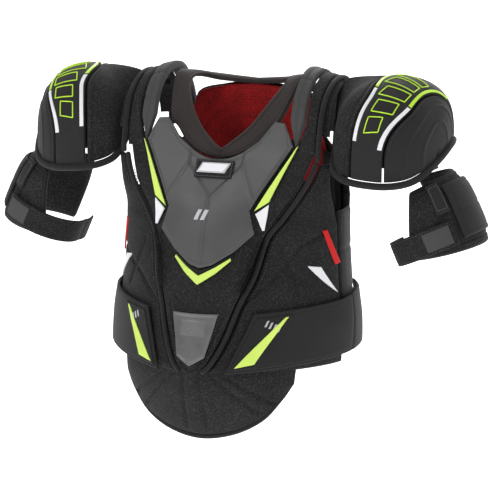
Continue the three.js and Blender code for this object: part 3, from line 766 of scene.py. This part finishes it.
for side, tag in SIDES:
    cap_piece("cap_inner_panel", lambda a: -89.3 + 0 * a, lambda a: band_inner(a) - 1, 120, 100, -7, -0.2,
        MESH, side, tag, edge=3,
              puff=0.4, relief=lambda uu, vv, p, d: -1.5 * np.exp(-((d - 7.5) / 1.2) ** 2))
    cap_piece("cap_band", lambda a: band_inner(a) + 0.5, lambda a: band_outer(a) - 0.5, 110, 60, -7, 0.9,
        SMOOTH, side, tag, edge=2.4)
    cap_piece("cap_outer_panel", lambda a: band_outer(a) + 1, lambda a: 89.3 + 0 * a, 110, 70, -7, -0.2,
        SMOOTH, side, tag, edge=3,
              puff=0.4, relief=rib_relief)
    cap_piece("cap_liner", lambda a: -60 + 0 * a, lambda a: 60 + 0 * a, 60, 50, -15.5, -10.2, FOAM, side,
        tag, 2, 178, margin=0.02, edge=3)
    bs = np.linspace(-84, 84, 90)
    rim = np.concatenate([cap(0 * bs, bs), cap(0 * bs + 180, bs[::-1])]) - (0, 0, 2)
    tube("cap_rim_" + tag, rim, 4.2, BINDING, "cap_" + tag, "cap_rim_" + tag, side, closed=True)
    cap_piece("cap_stripe_white_in", lambda a: band_inner(a) + 1.6, lambda a: band_inner(a) + 4.6, 40, 8,
        0.2, 1.7, WHITE, side, tag,
              14, 60, False, edge=0.7, soft=False)
    cap_piece("cap_stripe_green_in", lambda a: band_inner(a) + 1.6, lambda a: band_inner(a) + 4.6, 40, 8,
        0.2, 1.7, GREEN, side, tag,
              62, 104, False, edge=0.7, soft=False)
    cap_piece("cap_stripe_white_out", lambda a: band_outer(a) - 5.2, lambda a: band_outer(a) - 1.8, 40, 8,
        0.2, 1.7, WHITE, side, tag,
              12, 54, False, edge=0.7, soft=False)
    cap_piece("cap_stripe_green_out", lambda a: band_outer(a) - 5.2, lambda a: band_outer(a) - 1.8, 60, 8,
        0.2, 1.7, GREEN, side, tag,
              56, 138, False, edge=0.7, soft=False)
    for k in range(5):
        a = 20 + 17 * k
        low, high = band_inner(a + 6) + 10, band_outer(a + 6) - 10
        glyph("cap_shape_%d_%s" % (k, tag), [(a, low), (a + 12, low), (a + 15, high), (a + 3, high)], side,
            tag)
    for k, b in enumerate((-70, -2)):
        stitches("cap_stitch_%d_%s" % (k, tag), cap, np.linspace(12, 168, 120),
            b if k == 0 else band_inner(np.linspace(12, 168, 120)) - 3,
                 -0.4, "cap_" + tag, CAP_INSIDE, side)
    stitches("cap_stitch_out_" + tag, cap, np.linspace(12, 168, 120),
        band_outer(np.linspace(12, 168, 120)) + 3.4, -0.2, "cap_" + tag,
             CAP_INSIDE, side)

# ---------------------------------------------------------------- arm guards
ARM_INSIDE = arm(90, 90) * (1, 0, 1) + (0, 15, 0)
ARM_BINDING_DEPTH = 4.5  # half way through the guard


def guard_at(t, v):
    s = (38 + 13 * t) * (1 - v) + (122 + 12 * np.sin(np.pi * t)) * v
    reach = 70 + 0.42 * (s - 27)
    return arm(-98 + (reach + 98) * t, s)


def guard_relief(uu, vv, p, d):
    return -1.3 * sum(np.exp(-((uu - c) / 0.015) ** 2) for c in (0.3,
        0.8)) - 0.9 * np.exp(-((d - 7) / 1.1) ** 2)


def tuck(a, s):
    t = (a - 48) / 152
    return 2.2 - 14 * np.clip((t - 0.3) / 0.5, 0, 1) ** 1.5


def square_loop(lo, hi, n, inset):
    """Points round a rectangle in (u, v), each side n steps."""
    k = np.linspace(0, 1, n, endpoint=False)
    one = np.ones(n)
    u = np.concatenate([k, one, 1 - k, 0 * one])
    v = np.concatenate([0 * one, k, one, 1 - k])
    u, v = inset + (1 - 2 * inset) * u, inset + (1 - 2 * inset) * v
    return lo[0] + (hi[0] - lo[0]) * u, lo[1] + (hi[1] - lo[1]) * v


for side, tag in SIDES:
    body = "arm_" + tag
    pad("arm_pad_" + tag, guard_at, (0, 1, 120), (0, 1, 90), -9, -0.4, MESH, body, "arm_pad_" + tag, side,
        ARM_INSIDE, edge=4,
        puff=0.5, relief=guard_relief)
    u, v = square_loop((0, 0), (1, 1), 50, 0.006)
    middle_line = guard_at(u, v) - ARM_BINDING_DEPTH * normals(guard_at, u, v, ARM_INSIDE, 1e-3)
    tube("arm_binding_" + tag, middle_line, 3.6, BINDING, body, side=side, closed=True)
    pad("arm_plate_" + tag, arm, (-44, 40, 60), (56, 122, 50), 0.6, 4.5, SMOOTH, body, "arm_plate_" + tag,
        side, ARM_INSIDE, edge=5,
        relief=lambda uu, vv, p,
        d: -0.8 * np.exp(-((d - 6) / 1.0) ** 2) - 0.7 * np.exp(-((vv - 89) / 1.2) ** 2))
    pad("arm_tab_" + tag, arm, (44, 60, 24), (50, 86, 30), 0.6, 4.0, SMOOTH, body, "arm_tab_" + tag, side,
        ARM_INSIDE, edge=2)
    u, v = square_loop((44, 50), (60, 86), 20, 0.12)
    stitches("tab_stitch_" + tag, arm, u, v, 3.9, body, ARM_INSIDE, side, length=1.8, gap=0.9, width=0.6,
        style=LIGHT_THREAD)
    strap_body = "arm_strap_" + tag
    pad("arm_strap_" + tag, arm, (48, 200, 130), (96, 126, 30), tuck, lambda a, s: tuck(a, s) + 3, MESH,
        strap_body,
        "arm_strap_" + tag, side, ARM_INSIDE, edge=1.6,
        relief=lambda uu, vv, p, d: -0.6 * np.exp(-((d - 3) / 0.7) ** 2))
    pad("strap_grip_" + tag, arm, (54, 84, 30), (100, 122, 20), lambda a, s: tuck(a, s) + 2.4, lambda a,
        s: tuck(a, s) + 3.9, YOKE,
        strap_body, None, side, ARM_INSIDE, edge=1.0, soft=False)
    turn = np.linspace(52, 196, 90)
    for k, s in enumerate((98.4, 123.6)):
        stitches("strap_stitch_%d_%s" % (k, tag), arm, turn, s, tuck(turn, s) + 2.7, strap_body, ARM_INSIDE,
            side)
    pad("arm_hanger_" + tag, lambda w, v: xyz(206 + 40 * v - 6 * np.sin(np.pi * v), 20 + w, 20 - 72 * v),
        (-16, 16, 20), (0, 1, 40),
        -1.2, 1.2, BINDING, "hanger_" + tag, "arm_hanger_" + tag, side, (150, 20, -60), edge=0.9,
        soft=False)

# ---------------------------------------------------------------- belts and belly flap
def belt_at(t, v):
    inner = angle_at(66, -218) * (1 - v) + angle_at(41, -284) * v
    top, low = -216 + 18 * t, -284 + 22 * t
    return chest(inner + (122 - inner) * t, top * (1 - v) + low * v)


def belt_relief(uu, vv, p, d):
    return -0.8 * np.exp(-((d - 3.2) / 0.8) ** 2) - 1.0 * np.exp(-((uu - 0.62) / 0.012) ** 2)


for side, tag in SIDES:
    body = "belt_" + tag
    pad("belt_" + tag, belt_at, (0, 1, 110), (0, 1, 50), 2, 5.4, SMOOTH, body, "belt_" + tag, side,
        edge=1.8, relief=belt_relief)
    for k, v in enumerate((0.05, 0.95)):
        stitches("belt_stitch_%d_%s" % (k, tag), belt_at, np.linspace(0.03, 0.97, 80), v, 4.9, body,
            side=side)
    front_piece("belt_label_" + tag, [(69, -221, 46, -280), (104, -218, 74, -276)], 40, 40, 4.6, 6.9,
        BINDING, body=body,
                node="belt_label_" + tag, side=side, edge=1.2, soft=False)
    front_piece("belt_wedge_" + tag, [(96, -221, 50, -277), (99, -220.5, 70, -273)], 16, 50, 6.4, 7.7, PALE,
        body=body, side=side,
                edge=0.5, soft=False)
    for k in range(4):
        x = 79 + 4.0 * k
        front_piece("belt_mark_%d_%s" % (k, tag), [(x, -224 - 2.2 * k, x - 2.5, -231 - 2.2 * k),
                    (x + 2.2, -224 - 2.2 * k, x - 0.3, -231 - 2.2 * k)], 6, 8, 6.4, 7.4, SILVER, body=body,
                    side=side,
                    edge=0.4, soft=False)

FLAP = both_sides([(0, -274, 0, -368), (44, -274, 42, -361), (80, -274, 76, -344), (106, -276, 98, -319),
    (112, -280, 110, -300)])
flap_at = front_map(FLAP, True)
FLAP_SEAMS = [[(25, -287), (74, -336)], [(10, -290), (14, -356)], [(44, -289), (92, -326)]]
front_piece("belly_flap", FLAP, 150, 70, -11, -4.4, MESH, smooth=True, body="belly_flap", node="belly_flap",
    edge=4, puff=2.4,
            relief=groove(FLAP_SEAMS, 2.4, 2.2))
u = np.concatenate([np.zeros(12), np.linspace(0, 8, 160), np.full(12, 8.0)])
v = np.concatenate([np.linspace(0.1, 0.99, 12), np.full(160, 0.995), np.linspace(0.99, 0.1, 12)])
flap_edge = flap_at(u, v)
inward = np.array([0, 20.0, -320]) - flap_edge
inward[:, 2] = 0
inward /= np.linalg.norm(inward, axis=1, keepdims=True)
tube("flap_binding", resample(flap_edge + inward * 7.2, 2.0), 3.2, BINDING, "belly_flap")
stitches("flap_stitch", flap_at, np.linspace(0.3, 7.7, 200), 0.9, -4.2, "belly_flap")

# ---------------------------------------------------------------- studio
FLOOR, REACH, BACK_WALL, WALL_TOP = -0.47, 6, 4, 6
PAPER_GLOW, WORLD_LIGHT = 0.8, 0.3


def sheet_mesh(name, corners, material):
    mesh = bpy.data.meshes.new(name)
    mesh.from_pydata(corners, [], [(0, 1, 2, 3)])
    obj = bpy.data.objects.new(name, mesh)
    scene.collection.objects.link(obj)
    mesh.materials.append(material)
    return obj


paper, _, paper_shader = new_material("paper", (0.9, 0.9, 0.9), 0.95)
paper_shader.inputs["Emission Color"].default_value = (1, 1, 1, 1)
paper_shader.inputs["Emission Strength"].default_value = PAPER_GLOW
floor = sheet_mesh("floor", [(-REACH, -REACH, FLOOR), (REACH, -REACH, FLOOR), (REACH, REACH, FLOOR),
    (-REACH, REACH, FLOOR)], paper)
backdrop = sheet_mesh("backdrop", [(-8, BACK_WALL, FLOOR), (8, BACK_WALL, FLOOR), (8, BACK_WALL, WALL_TOP),
    (-8, BACK_WALL, WALL_TOP)], paper)

world = bpy.data.worlds.new("studio")
scene.world = world
world.use_nodes = True
world.node_tree.nodes["Background"].inputs[0].default_value = (1, 1, 1, 1)
world.node_tree.nodes["Background"].inputs[1].default_value = WORLD_LIGHT


def area_light(name, place, aim, size, watts):
    data = bpy.data.lights.new(name, "AREA")
    data.energy, data.size = watts, size
    obj = bpy.data.objects.new(name, data)
    scene.collection.objects.link(obj)
    obj.location = place
    obj.rotation_euler = (Vector(aim) - Vector(place)).to_track_quat("-Z", "Y").to_euler()
    return obj


middle = (0, 0, -0.17)
area_light("key", (-1.1, -2.0, 1.5), middle, 1.2, 26)
area_light("fill", (2.2, -1.6, 0.4), middle, 1.6, 10)
area_light("top", (0.3, 0.4, 2.2), middle, 1.6, 17)
area_light("rim", (-0.6, 1.9, 1.2), middle, 1.0, 16)

AZIMUTH, ELEVATION, DISTANCE, TARGET = math.radians(22), math.radians(10.4387), 2.9016, Vector((0.02072, 0,
    -0.19365))
away = Vector((math.sin(AZIMUTH) * math.cos(ELEVATION), -math.cos(AZIMUTH) * math.cos(ELEVATION),
    math.sin(ELEVATION)))
lens = bpy.data.cameras.new("camera")
lens.lens, lens.sensor_width = 172.8, 36
camera = bpy.data.objects.new("camera", lens)
scene.collection.objects.link(camera)
camera.location = TARGET + away * DISTANCE
camera.rotation_euler = (-away).to_track_quat("-Z", "Y").to_euler()
scene.camera = camera
scene.view_settings.view_transform = "Standard"
